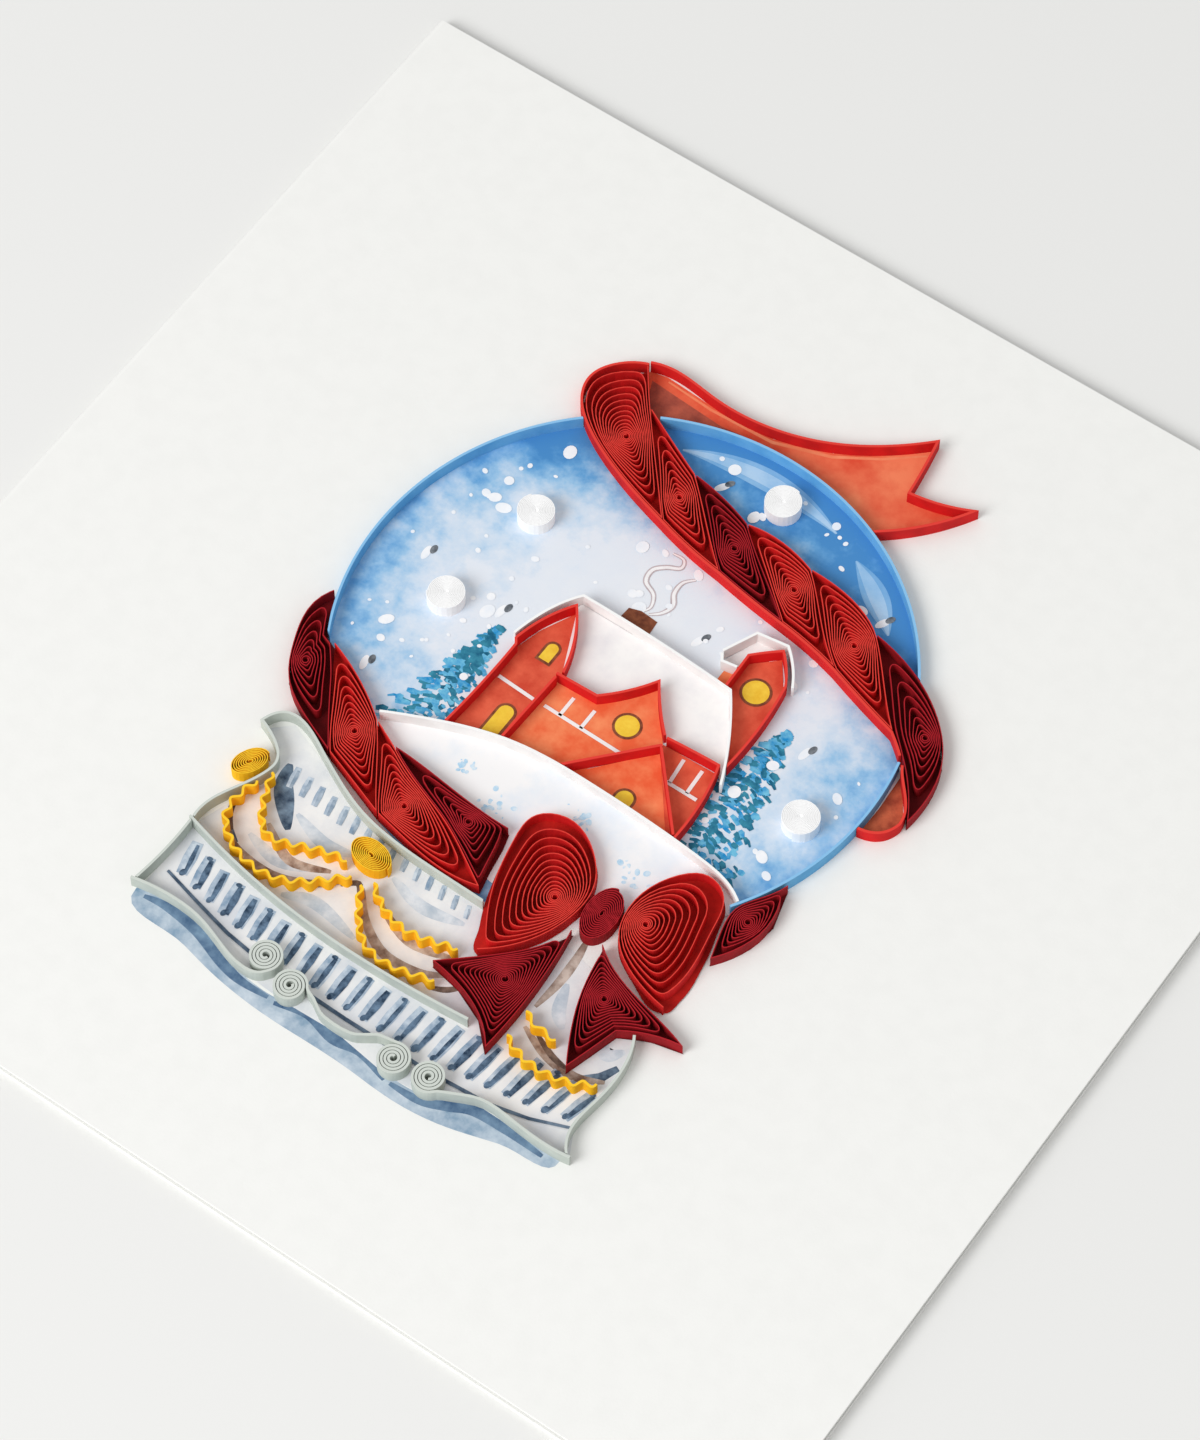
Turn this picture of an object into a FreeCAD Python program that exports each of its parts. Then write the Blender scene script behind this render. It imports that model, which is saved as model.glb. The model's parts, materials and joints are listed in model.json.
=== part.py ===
import FreeCAD, Part
import math
import os
import Sketcher

# Quilled snow globe on a folded greeting card. Millimetres.
# The card lies flat: X runs across it, Y up the picture, Z out of it.
# The origin is on the underside, under the middle of the card.
# Every paper strip stands on its edge on the front leaf.

sizes = {
    "card_width": 152.4,
    "card_length": 152.4,
    "leaf_thickness": 0.45,
    "leaf_gap": 0.9,
    "strip_width": 2.0,
    "coil_paper": 0.11,
    "turn_gap": 0.08,
    "coil_turns": 15,
    "outline_paper": 0.32,
    "garland_paper": 0.3,
    "glue_gap": 0.1,
    "globe_radius": 35.9,
    "globe_x": 0.4,
    "globe_y": 8.84,
    "snowball_radius": 2.45,
    "snowball_pitch": 0.2,
    "gold_pitch": 0.2,
    "scroll_radius": 2.05,
    "scroll_pitch": 0.42,
    "crimp_wave": 2.15,
    "crimp_depth": 0.36,
}

# The picture is drawn for a globe of this radius about this centre,
# measured from the lower left corner of the card.
drawn_radius = 35.9
drawn_center = (76.94, 84.56)

doc = FreeCAD.newDocument("quilled_snow_globe_card")
sheet = doc.addObject("Spreadsheet::Sheet", "Sizes")
for row, (name, value) in enumerate(sizes.items(), start=1):
    sheet.set(f"A{row}", name)
    sheet.set(f"B{row}", str(value))
    sheet.setAlias(f"B{row}", name)
doc.recompute()


def size(name):
    return float(sheet.get(name))


draw_scale = size("globe_radius") / drawn_radius
glue_gap = size("glue_gap")
coil_paper = size("coil_paper")
outline_paper = size("outline_paper")
subparts = []


# Curves in the plane of the card, measured from the globe's centre.

def place(point):
    x = (point[0] - drawn_center[0]) * draw_scale
    y = (point[1] - drawn_center[1]) * draw_scale
    return FreeCAD.Vector(x, y, 0)


def polar(center, radius, degrees):
    angle = math.radians(degrees)
    return center + FreeCAD.Vector(radius * math.cos(angle), radius * math.sin(angle), 0)


def bend(points, spacing=0.25):
    """Even points along the smooth curve through a few points, or along a straight line."""
    if len(points) == 2:
        edge = Part.makeLine(points[0], points[1])
    else:
        curve = Part.BSplineCurve()
        curve.interpolate(points)
        edge = curve.toShape()
    count = max(3, math.ceil(edge.Length / spacing) + 1)
    return edge.discretize(Number=count)


def left_normal(before, after):
    step = after - before
    return FreeCAD.Vector(-step.y, step.x, 0).normalize()


def offset_curve(points, distance):
    """The points moved to their left by a distance."""
    moved = []
    last = len(points) - 1
    for i, point in enumerate(points):
        normal = left_normal(points[max(i - 1, 0)], points[min(i + 1, last)])
        moved.append(point + normal * distance)
    return moved


def smooth_edge(points):
    curve = Part.BSplineCurve()
    curve.interpolate(points)
    return curve.toShape()


def thin_out(points, longest=1.2, turn=10.0):
    """The ends, and the points between them that a nearly straight curve can't do without."""
    kept = [points[0]]
    turned = 0.0
    for before, point, after in zip(points, points[1:], points[2:]):
        turned += math.degrees((after - point).getAngle(point - before))
        if turned > turn or (point - kept[-1]).Length > longest:
            kept.append(point)
            turned = 0.0
    return kept + [points[-1]]


def run_edges(points, smooth):
    """One smooth edge through a run, or short straight ones."""
    length = sum((b - a).Length for a, b in zip(points, points[1:]))
    if len(points) < 3 or length < 1.00002 * (points[-1] - points[0]).Length:
        return [Part.makeLine(points[0], points[-1])]
    if smooth:
        return [smooth_edge(thin_out(points))]
    return Part.makePolygon(thin_out(points)).Edges


def path_distance(point, path):
    """The least distance from a point to a path."""
    least = math.inf
    for start, end in zip(path, path[1:]):
        step = end - start
        share = max(0, min(1, (point - start).dot(step) / step.dot(step)))
        least = min(least, (point - start - step * share).Length)
    return least


def crowded(run, curve, index, end, beyond, distance):
    """Whether a moved point is too near the corner at the run's end, or crosses the next run."""
    step = (curve[1] - curve[0]).Length
    if (curve[index] - curve[end]).Length < step / 2 or (run[index] - run[end]).Length < step / 3:
        return True
    return path_distance(run[index], beyond) < abs(distance)


def parallel_runs(curves, distance, closed=False):
    """Runs moved to their left by a distance, with mitred corners where they meet."""
    last = len(curves) - 1
    moved = [offset_curve(curve, distance) for curve in curves]
    joints = [(k, 0 if k == last else k + 1) for k in range(len(curves) if closed else last)]
    for k, after in joints:
        joint = curves[k][-1]
        into = left_normal(curves[k][-2], joint)
        out = left_normal(joint, curves[after][1])
        miter = (into + out).normalize()
        corner = joint + miter * (distance / max(miter.dot(into), 0.12))
        moved[k][-1] = corner
        moved[after][0] = corner
    heads = [1] * len(curves)
    tails = [len(curve) - 2 for curve in curves]
    for k, after in joints:
        while tails[k] > 0 and crowded(moved[k], curves[k], tails[k], -1, curves[after][:40], distance):
            tails[k] -= 1
        while heads[after] < len(curves[after]) - 1 and crowded(
                moved[after], curves[after], heads[after], 0, curves[k][-40:], distance):
            heads[after] += 1
    return [[run[0]] + run[head:tail + 1] + [run[-1]] for run, head, tail in zip(moved, heads, tails)]


def folded_face(curves, thickness, smooth=True):
    """The end-on face of a strip bent along each run and folded sharply between runs."""
    left = parallel_runs(curves, thickness / 2)
    right = parallel_runs(curves, -thickness / 2)
    edges = []
    for run in left:
        edges += run_edges(run, smooth)
    edges.append(Part.makeLine(left[-1][-1], right[-1][-1]))
    for run in reversed(right):
        edges += run_edges(list(reversed(run)), smooth)
    edges.append(Part.makeLine(right[0][0], left[0][0]))
    return Part.Face(Part.Wire(edges))


def closed_outline(runs, outset):
    """Smooth runs that meet at pinched corners and close on themselves, moved outward."""
    curves = [bend(run) for run in runs]
    points = [point for curve in curves for point in curve[:-1]]
    area = sum(a.x * b.y - a.y * b.x for a, b in zip(points, points[1:] + points[:1]))
    outward = -outset if area > 0 else outset
    return parallel_runs(curves, outward, closed=True)


def outline_face(curves):
    points = [point for curve in curves for point in curve[:-1]]
    return Part.Face(Part.makePolygon(points + [points[0]]))


# Spiral coils. Each turn is the outline drawn smaller about the coil's core,
# and its pinched corners grow rounder from turn to turn, to round turns at the core.

def rounded(arms, angles, steps, window=9.0):
    """The outline's distances from its core, with its corners drawn inward."""
    softer = []
    for arm, angle in zip(arms, angles):
        total = 0
        weight = 0
        for other, beside, step in zip(arms, angles, steps):
            apart = abs((math.degrees(beside - angle) + 180) % 360 - 180) / window
            if apart < 1:
                share = step * (1 + math.cos(math.pi * apart))
                total += share * other
                weight += share
        softer.append(min(arm, total / weight))
    return softer


def coil_face(outline, core, paper, gap, core_turns=1.6, round_share=0.25):
    """The end-on face of a spiral strip that fills an outline, wound from its outside inward."""
    points = [point for curve in outline for point in curve[:-1]]
    following = points[1:] + points[:1]
    angles = [math.atan2(point.y - core.y, point.x - core.x) for point in points]
    steps = [(here - core).getAngle(there - core) for here, there in zip(points, following)]
    around = sum(steps)
    layers = [[(point - core).Length for point in points]]
    while len(layers) <= size("coil_turns") + 1:
        layers.append(rounded(layers[-1], angles, steps))
    room = min(layers[0])
    turns = min(round(size("coil_turns")), math.floor(room / (paper + gap) - core_turns))
    path = []
    for turn in range(turns):
        swept = 0
        for i, angle in enumerate(angles):
            share = swept / around
            swept += steps[i]
            if turn == 0:
                share = max(0, (share - 0.7) / 0.3)
            arm = layers[turn][i] * (1 - share) + layers[turn + 1][i] * share
            scale = 1 - (turn + share) / (turns + core_turns)
            pinch = max(0, (scale - round_share) / (1 - round_share))
            radius = scale * (room + pinch * (arm - room))
            path.append(polar(core, radius, math.degrees(angle)))
    return folded_face(split_at_corners(spaced(path)), paper, smooth=False)


def spaced(path, least=0.15):
    """The path without points that crowd the one before them."""
    kept = [path[0]]
    for point in path[1:]:
        if (point - kept[-1]).Length > least:
            kept.append(point)
    return kept


def split_at_corners(path, sharp=24):
    """The path cut into runs wherever it turns sharply."""
    runs = [[path[0]]]
    for before, point, after in zip(path, path[1:], path[2:]):
        runs[-1].append(point)
        if math.degrees((after - point).getAngle(point - before)) > sharp:
            runs.append([point])
    runs[-1].append(path[-1])
    return runs


def round_spiral(center, outer, pitch, turns, start, sense):
    """Points of a round scroll, from its outside inward. Sense 1 winds counter-clockwise."""
    steps = math.ceil(turns * 40)
    points = []
    for step in range(steps + 1):
        turn = turns * step / steps
        radius = outer - pitch * turn
        points.append(polar(center, radius, start + sense * 360 * turn))
    return points


# Adds a strip that stands on the card: its end-on face, and the face raised by the strip's width.

def stand_on_card(node, face):
    if not face.isValid() or face.Area <= 0:
        raise ValueError("bad face for " + node)
    profile = doc.addObject("Part::Feature", node + "_profile")
    profile.Shape = face
    strip = doc.addObject("Part::Extrusion", node)
    strip.Label = node
    strip.Base = profile
    strip.DirMode = "Custom"
    strip.Dir = FreeCAD.Vector(0, 0, 1)
    strip.Solid = True
    strip.setExpression("LengthFwd", "Sizes.strip_width")
    strip.setExpression("Placement.Base.x", "Sizes.globe_x")
    strip.setExpression("Placement.Base.y", "Sizes.globe_y")
    strip.setExpression("Placement.Base.z", "2 * Sizes.leaf_thickness + Sizes.leaf_gap")
    subparts.append(strip)


# Folded card: back leaf, round fold at the left edge, front leaf.

def origin_plane(body, role):
    return next(item for item in body.Origin.OriginFeatures if item.Role == role)


def folded_card():
    body = doc.addObject("PartDesign::Body", "folded_card")
    body.Label = "folded_card"
    sketch = body.newObject("Sketcher::SketchObject", "leaf_section")
    sketch.AttachmentSupport = [(origin_plane(body, "XZ_Plane"), "")]
    sketch.MapMode = "FlatFace"
    leaf = size("leaf_thickness")
    gap = size("leaf_gap")
    right = size("card_width") / 2
    height = 2 * leaf + gap
    fold = height / 2 - right
    corners = {
        "back_under": ((fold, 0), (right, 0)),
        "back_end": ((right, 0), (right, leaf)),
        "back_over": ((right, leaf), (fold, leaf)),
        "front_under": ((fold, leaf + gap), (right, leaf + gap)),
        "front_end": ((right, leaf + gap), (right, height)),
        "front_over": ((right, height), (fold, height)),
    }
    lines = {}
    for name, (start, end) in corners.items():
        line = Part.LineSegment(FreeCAD.Vector(*start, 0), FreeCAD.Vector(*end, 0))
        lines[name] = sketch.addGeometry(line, False)
    middle = FreeCAD.Vector(fold, height / 2, 0)
    up = FreeCAD.Vector(0, 0, 1)
    arcs = {}
    for name, radius in (("inner", gap / 2), ("outer", height / 2)):
        circle = Part.Circle(middle, up, radius)
        arc = Part.ArcOfCircle(circle, math.pi / 2, 3 * math.pi / 2)
        arcs[name] = sketch.addGeometry(arc, False)

    def join(kind, *items):
        return sketch.addConstraint(Sketcher.Constraint(kind, *items))

    start, end, center = 1, 2, 3
    join("Coincident", lines["back_under"], end, lines["back_end"], start)
    join("Coincident", lines["back_end"], end, lines["back_over"], start)
    join("Coincident", lines["front_under"], end, lines["front_end"], start)
    join("Coincident", lines["front_end"], end, lines["front_over"], start)
    join("Tangent", lines["back_over"], end, arcs["inner"], end)
    join("Tangent", arcs["inner"], start, lines["front_under"], start)
    join("Tangent", lines["back_under"], start, arcs["outer"], end)
    join("Tangent", arcs["outer"], start, lines["front_over"], end)
    join("Coincident", arcs["inner"], center, arcs["outer"], center)
    join("Horizontal", lines["back_under"])
    join("Vertical", lines["back_end"])
    join("Vertical", lines["front_end"])
    join("PointOnObject", lines["back_under"], end, -1)
    driven = (
        ("leaf", join("DistanceY", lines["back_end"], start, lines["back_end"], end, leaf),
         "Sizes.leaf_thickness"),
        ("gap", join("DistanceY", lines["back_end"], end, lines["front_end"], start, gap),
         "Sizes.leaf_gap"),
        ("right_edge", join("DistanceX", -1, 1, lines["back_end"], start, right),
         "Sizes.card_width / 2"),
        ("upper_edge", join("DistanceX", -1, 1, lines["front_end"], start, right),
         "Sizes.card_width / 2"),
        ("fold_edge", join("DistanceX", arcs["outer"], center, -1, 1, -fold),
         "Sizes.card_width / 2 - Sizes.leaf_thickness - Sizes.leaf_gap / 2"),
    )
    for name, index, expression in driven:
        sketch.renameConstraint(index, name)
        sketch.setExpression("Constraints." + name, expression)
    pad = body.newObject("PartDesign::Pad", "leaf_length")
    pad.Profile = sketch
    pad.SideType = "Symmetric"
    pad.setExpression("Length", "Sizes.card_length")
    body.Tip = pad
    subparts.append(body)


folded_card()


# Curves that neighbouring coils share, as drawn on the card.

ribbon_seams = [
    [(54.7, 121.8), (58.4, 116.9), (63.6, 110.7), (69.2, 104.1)],
    [(68.6, 111.9), (72.0, 108.7), (75.9, 104.9), (79.1, 102.0)],
    [(78.0, 109.6), (81.9, 106.3), (86.0, 103.2), (89.4, 100.4)],
    [(88.0, 108.7), (91.5, 105.2), (95.0, 101.5), (98.5, 98.6)],
    [(99.6, 105.6), (102.8, 102.2), (105.6, 98.9), (108.9, 95.4)],
]
ribbon_under = [
    [(69.2, 104.1), (64.2, 105.6), (58.7, 107.7), (53.2, 110.8), (50.7, 113.4), (49.9, 116.3),
     (51.4, 119.5), (54.7, 121.8)],
    [(79.1, 102.0), (74.2, 102.8), (69.2, 104.1)],
    [(89.4, 100.4), (84.2, 101.1), (79.1, 102.0)],
    [(98.5, 98.6), (94.0, 99.7), (89.4, 100.4)],
    [(108.9, 95.4), (104.0, 96.8), (98.5, 98.6)],
    [(117.2, 85.8), (114.2, 90.4), (108.9, 95.4)],
]
ribbon_over = [
    None,
    [(58.4, 116.9), (63.6, 114.3), (68.6, 111.9)],
    [(68.6, 111.9), (73.7, 111.0), (78.0, 109.6)],
    [(78.0, 109.6), (81.9, 110.0), (85.4, 109.5), (88.0, 108.7)],
    [(88.0, 108.7), (92.0, 108.5), (96.7, 107.3), (99.6, 105.6)],
    [(99.6, 105.6), (106.4, 103.7), (112.2, 100.1), (116.2, 95.1), (117.4, 90.5), (117.2, 85.8)],
]
ribbon_cores = [(58.5, 111.5), (69.0, 107.9), (78.7, 105.7), (88.0, 105.0), (98.4, 102.6), (112.5, 96.8)]

wrap_seams = [
    [(46.9, 66.9), (50.1, 62.1), (52.6, 58.4), (55.7, 54.2)],
    [(57.6, 61.2), (59.7, 58.6), (62.3, 54.9), (65.4, 50.7)],
    [(61.4, 59.4), (66.8, 56.8), (73.0, 54.4), (78.0, 51.6), (81.1, 49.7)],
]
wrap_cores = [(45.7, 62.8), (56.4, 58.2), (67.4, 53.3), (74.9, 56.0)]

cells = {}


def ribbon_cells():
    """Six coils side by side; each has a seam on its right and the seam before it on its left."""
    last = len(ribbon_cores) - 1
    for i, core in enumerate(ribbon_cores):
        runs = []
        if i > 0:
            runs.append(ribbon_over[i])
        if i < last:
            runs.append(ribbon_seams[i])
        runs.append(ribbon_under[i])
        if i == 1:
            runs.append(list(reversed(ribbon_seams[0][1:])))
        elif i > 1:
            runs.append(list(reversed(ribbon_seams[i - 1])))
        cells[f"ribbon_coil_{i + 1}"] = (runs, core)


def wrap_cells():
    first, second, third = wrap_seams
    outer_side = [(42.6, 72.9), (41.5, 69.6), (42.9, 64.0), (45.4, 59.7), (49.8, 56.7), (55.7, 54.2)]
    rim_side = [(45.3, 67.65), (43.75, 70.6), (42.6, 72.9)]
    shoulder = [(46.9, 66.9), (45.3, 67.65)]
    cells["wrap_coil_1"] = ([outer_side, list(reversed(first)), shoulder, rim_side], wrap_cores[0])
    upper = [(46.9, 66.9), (52.9, 64.3), (57.6, 61.2)]
    lower = [(65.4, 50.7), (59.6, 52.8), (55.7, 54.2)]
    cells["wrap_coil_2"] = ([upper, second, lower, list(reversed(first))], wrap_cores[1])
    upper = [(57.6, 61.2), (61.4, 59.4)]
    lower = [(81.1, 49.7), (77.5, 49.0), (72.5, 49.3), (65.4, 50.7)]
    cells["wrap_coil_3"] = ([upper, third, lower, list(reversed(second))], wrap_cores[2])
    upper = [(79.3, 58.1), (73.7, 58.3), (65.4, 59.2), (61.4, 59.4)]
    side = [(81.1, 49.7), (80.4, 52.8), (79.9, 56.0), (79.3, 58.1)]
    cells["wrap_coil_4"] = ([upper, third, side], wrap_cores[3])


def bow_cells():
    cells["bow_loop_left"] = ([
        [(85.7, 42.7), (89.4, 46.3), (92.1, 52.0), (92.2, 57.3), (89.0, 61.6), (84.0, 63.3),
         (80.8, 61.4), (80.5, 57.0), (81.5, 51.6), (83.6, 46.2), (85.7, 42.7)],
    ], (89.1, 53.7))
    cells["bow_loop_right"] = ([
        [(107.9, 49.0), (102.4, 50.5), (98.0, 53.9), (96.9, 58.3), (98.7, 63.8), (102.2, 66.5),
         (105.6, 65.0), (106.9, 61.5), (108.1, 56.7), (108.5, 51.5), (107.9, 49.0)],
    ], (99.9, 56.9))
    cells["bow_tail_left"] = ([
        [(93.3, 51.6), (94.1, 46.0), (94.4, 38.5), (94.1, 32.8)],
        [(94.1, 32.8), (90.8, 36.0), (86.6, 37.8), (82.3, 38.6)],
        [(82.3, 38.6), (86.9, 42.7), (91.0, 47.3), (93.3, 51.6)],
    ], (90.7, 41.5))
    cells["bow_tail_right"] = ([
        [(97.2, 52.0), (100.6, 49.8), (105.6, 48.2), (112.8, 46.2)],
        [(112.8, 46.2), (108.6, 45.2), (105.2, 43.4)],
        [(105.2, 43.4), (104.3, 40.2), (103.1, 36.2)],
        [(103.1, 36.2), (100.6, 40.8), (98.5, 46.2), (97.2, 52.0)],
    ], (101.6, 46.0))
    cells["ribbon_end_coil"] = ([
        [(110.5, 71.0), (108.9, 67.7), (107.2, 64.6), (107.4, 61.6), (108.6, 57.4)],
        [(108.6, 57.4), (111.2, 61.9), (111.9, 65.8), (110.5, 71.0)],
    ], (109.5, 64.0))


# Adds the coil that fills each cell. Half of the glue gap stays free on each side of a seam.

def coils():
    for node, (runs, core) in cells.items():
        placed = [[place(point) for point in run] for run in runs]
        outline = closed_outline(placed, -(glue_gap + coil_paper) / 2)
        stand_on_card(node, coil_face(outline, place(core), coil_paper, size("turn_gap")))


ribbon_cells()
wrap_cells()
bow_cells()
coils()


# Round and oval tight coils.

def tight_coil(node, center, half_long, half_short, tilt, pitch):
    core = place(center)
    turns = half_short / pitch - 0.9
    steps = math.ceil(turns * 48)
    path = []
    for step in range(steps + 1):
        turn = turns * step / steps
        shrink = 1 - turn * pitch / half_short
        angle = 2 * math.pi * turn
        along = (half_long - coil_paper / 2) * shrink * math.cos(angle)
        across = (half_short - coil_paper / 2) * shrink * math.sin(angle)
        lean = math.radians(tilt)
        x = along * math.cos(lean) - across * math.sin(lean)
        y = along * math.sin(lean) + across * math.cos(lean)
        path.append(core + FreeCAD.Vector(x, y, 0))
    stand_on_card(node, folded_face([path], coil_paper, smooth=False))


snowballs = [(79.8, 114.8), (55.8, 96.3), (53.75, 80.4), (106.5, 79.3)]
for number, center in enumerate(snowballs, start=1):
    radius = size("snowball_radius") * draw_scale
    tight_coil(f"snowball_{number}", center, radius, radius, 70 * number, size("snowball_pitch"))
tight_coil("gold_coil_left", (48.8, 47.7), 2.55 * draw_scale, 1.65 * draw_scale, 62, size("gold_pitch"))
tight_coil("gold_coil_middle", (68.1, 45.8), 2.95 * draw_scale, 1.95 * draw_scale, -10, size("gold_pitch"))
tight_coil("bow_knot", (94.9, 55.1), 3.8 * draw_scale, 2.25 * draw_scale, 93, coil_paper + size("turn_gap"))


# Outline strips. A path is a list of runs: a fold lies between two runs.

ribbon_edge_end = (111.6, 93.2)

strips = {
    "ribbon_curl_strip": [[(112.4, 92.1), (114.6, 89.3), (116.2, 87.0), (116.6, 85.2)],
                          [(116.6, 85.2), (115.8, 83.4), (112.6, 81.9)]],
    "tail_outline_strip": [[(54.65, 122.35), (56.9, 123.0), (64.1, 122.5), (73.0, 123.0), (80.1, 125.5),
                            (85.5, 128.9), (90.3, 133.2)],
                           [(90.3, 133.2), (91.3, 127.2), (91.6, 124.8)],
                           [(91.6, 124.8), (95.6, 125.6), (99.6, 127.2)],
                           [(99.6, 127.2), (95.3, 121.3), (91.2, 117.6)]],
    "snow_line_strip": [[(57.2, 62.2), (64.0, 65.3), (72.3, 67.9), (84.3, 68.6), (100.0, 67.8), (104.6, 66.9),
                         (107.2, 65.4)]],
    "tower_side_strip": [[(71.6, 78.3), (71.2, 67.4)]],
    "tower_strip": [[(64.4, 65.2), (65.0, 76.2), (65.0, 79.3)],
                    [(65.0, 79.3), (64.5, 80.0)],
                    [(64.5, 80.0), (65.8, 84.4), (67.8, 88.0)],
                    [(67.8, 88.0), (70.4, 83.9), (72.0, 79.3)]],
    "facade_strip": [[(71.4, 78.8), (77.2, 79.0)],
                     [(77.2, 79.0), (79.8, 81.7), (82.1, 85.0)],
                     [(82.1, 85.0), (84.7, 81.6), (87.0, 79.2)]],
    "annex_strip": [[(87.4, 79.05), (90.6, 79.3), (94.6, 79.5)],
                    [(94.6, 79.5), (95.6, 75.2), (95.9, 67.8)]],
    "porch_gable_strip": [[(78.7, 68.2), (87.4, 77.8)], [(87.4, 77.8), (95.6, 68.6)]],
    "roof_strip": [[(63.9, 80.5), (65.1, 84.9), (66.7, 88.2), (67.7, 89.6)],
                   [(67.7, 89.6), (78.7, 89.5), (89.8, 88.9)],
                   [(89.8, 88.9), (93.0, 84.1), (96.3, 77.4)]],
    "turret_strip": [[(89.0, 88.6), (88.8, 94.2)],
                     [(88.8, 94.2), (90.2, 95.6), (91.9, 97.1)],
                     [(91.9, 97.1), (93.6, 95.2), (94.9, 93.1)],
                     [(94.9, 93.1), (95.5, 88.4), (95.4, 79.6)]],
    "turret_roof_strip": [[(85.9, 93.0), (87.9, 97.4)], [(87.9, 97.4), (92.0, 98.0)],
                          [(92.0, 98.0), (94.0, 96.0), (95.7, 93.4)]],
    "turret_eave_strip": [[(86.0, 92.6), (86.6, 91.7)], [(86.6, 91.7), (89.0, 92.1)]],
    "base_crown_strip": [[(82.6, 48.4), (72.6, 48.6), (63.0, 50.1), (58.3, 52.1), (55.0, 53.8), (52.3, 55.2),
                          (49.4, 55.9), (46.5, 53.1)],
                         [(46.5, 53.1), (49.6, 51.6), (51.4, 49.4), (51.2, 47.6), (49.5, 43.8), (47.9, 37.9)]],
    "base_left_strip": [[(47.9, 37.6), (47.9, 32.0), (47.4, 27.3)]],
    "base_belt_strip": [[(47.5, 37.7), (55.0, 35.9), (65.4, 34.4), (80.0, 34.1), (90.3, 34.8)]],
    "base_right_strip": [[(107.2, 44.2), (108.6, 39.8), (108.5, 35.0), (108.1, 31.0), (110.4, 26.6)]],
}

# Strips that a strip's ends are cut back to, in the order they are glued.
butts = {
    "ribbon_edge_strip": ["tail_outline_strip"],
    "ribbon_curl_strip": ["ribbon_edge_strip", "rim_strip_right"],
    "tail_outline_strip": ["rim_strip_top"],
    "rim_strip_left": ["ribbon_edge_strip"],
    "rim_strip_right": ["ribbon_edge_strip"],
    "snow_line_strip": ["rim_strip_right"],
    "tower_side_strip": ["snow_line_strip", "facade_strip"],
    "tower_strip": ["snow_line_strip", "facade_strip"],
    "annex_strip": ["snow_line_strip", "facade_strip"],
    "porch_gable_strip": ["snow_line_strip", "annex_strip"],
    "roof_strip": ["annex_strip", "tower_strip"],
    "turret_strip": ["roof_strip", "annex_strip"],
    "turret_roof_strip": ["turret_strip"],
    "turret_eave_strip": ["turret_strip", "turret_roof_strip"],
    "base_left_strip": ["base_belt_strip", "base_scroll_left"],
    "base_crown_strip": ["base_belt_strip"],
    "base_right_strip": ["base_scroll_right"],
}


def even_path(points, spacing=0.1):
    curve = Part.BSplineCurve()
    curve.interpolate(points)
    edge = curve.toShape()
    return edge.discretize(Number=math.ceil(edge.Length / spacing))


def scroll_paths():
    """Long strips along the foot of the base, with their ends rolled into scrolls."""
    outer = size("scroll_radius") * draw_scale
    pitch = size("scroll_pitch") * draw_scale
    turns = (outer - 0.8 * pitch) / pitch

    def scroll(center, start, sense):
        return round_spiral(place(center), outer, pitch, turns, start, sense)

    left_run = [(46.9, 27.1), (52.0, 27.8), (57.0, 27.4), (61.8, 25.8), (64.7, 25.2), (66.9, 25.7)]
    first = [place(point) for point in left_run] + scroll((66.1, 27.9), -38, 1)
    middle_run = [(73.9, 26.7), (75.6, 25.7), (78.4, 25.3), (80.9, 25.7), (83.2, 27.2)]
    second = list(reversed(scroll((70.8, 26.4), 28, 1)))
    second += [place(point) for point in middle_run]
    second += scroll((86.2, 25.7), 112, -1)
    right_run = [(94.3, 25.9), (97.2, 27.2), (102.0, 27.2), (106.5, 26.9), (110.2, 27.2)]
    third = list(reversed(scroll((91.0, 26.2), -38, -1)))
    third += [place(point) for point in right_run]
    return {"base_scroll_left": [even_path(first)], "base_scroll_middle": [even_path(second)],
            "base_scroll_right": [even_path(third)]}


def rim_path(start, end):
    radius = size("globe_radius") - outline_paper / 2
    steps = 60
    center = FreeCAD.Vector(0, 0, 0)
    return [polar(center, radius, start + (end - start) * step / steps) for step in range(steps + 1)]


def ribbon_edge_runs():
    """The lower side of the ribbon's coils, moved off them by the glue gap."""
    runs = [bend([place(point) for point in reversed(under)]) for under in ribbon_under]
    runs[-1] = [point for point in runs[-1] if point.x < place(ribbon_edge_end).x]
    return parallel_runs(runs, -(glue_gap + outline_paper) / 2)


def crimped_path(points, wave, depth):
    """A strip pressed into even waves along a smooth curve."""
    curve = bend([place(point) for point in points], 0.05)
    length = sum((b - a).Length for a, b in zip(curve, curve[1:]))
    waves = max(2, round(length / wave))
    path = []
    walked = 0.0
    for i in range(1, len(curve) - 1):
        walked += (curve[i] - curve[i - 1]).Length
        swing = math.sin(2 * math.pi * waves * walked / length)
        path.append(curve[i] + left_normal(curve[i - 1], curve[i + 1]) * depth * swing)
    return path


def outline_runs():
    """The runs of every outline strip, in the order they are glued."""
    runs = {
        "rim_strip_left": [rim_path(132.4, 209.0)],
        "rim_strip_top": [rim_path(117.6, 31.2)],
        "rim_strip_right": [rim_path(12.4, -34.0)],
        "ribbon_edge_strip": ribbon_edge_runs(),
    }
    runs.update(scroll_paths())
    for node, drawn in strips.items():
        runs[node] = [bend([place(point) for point in run]) for run in drawn]
    return runs


def cell_space(node):
    """The ground that a coil takes, with the glue gap around it."""
    runs, core = cells[node]
    placed = [[place(point) for point in run] for run in runs]
    return outline_face(closed_outline(placed, glue_gap / 2))


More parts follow.
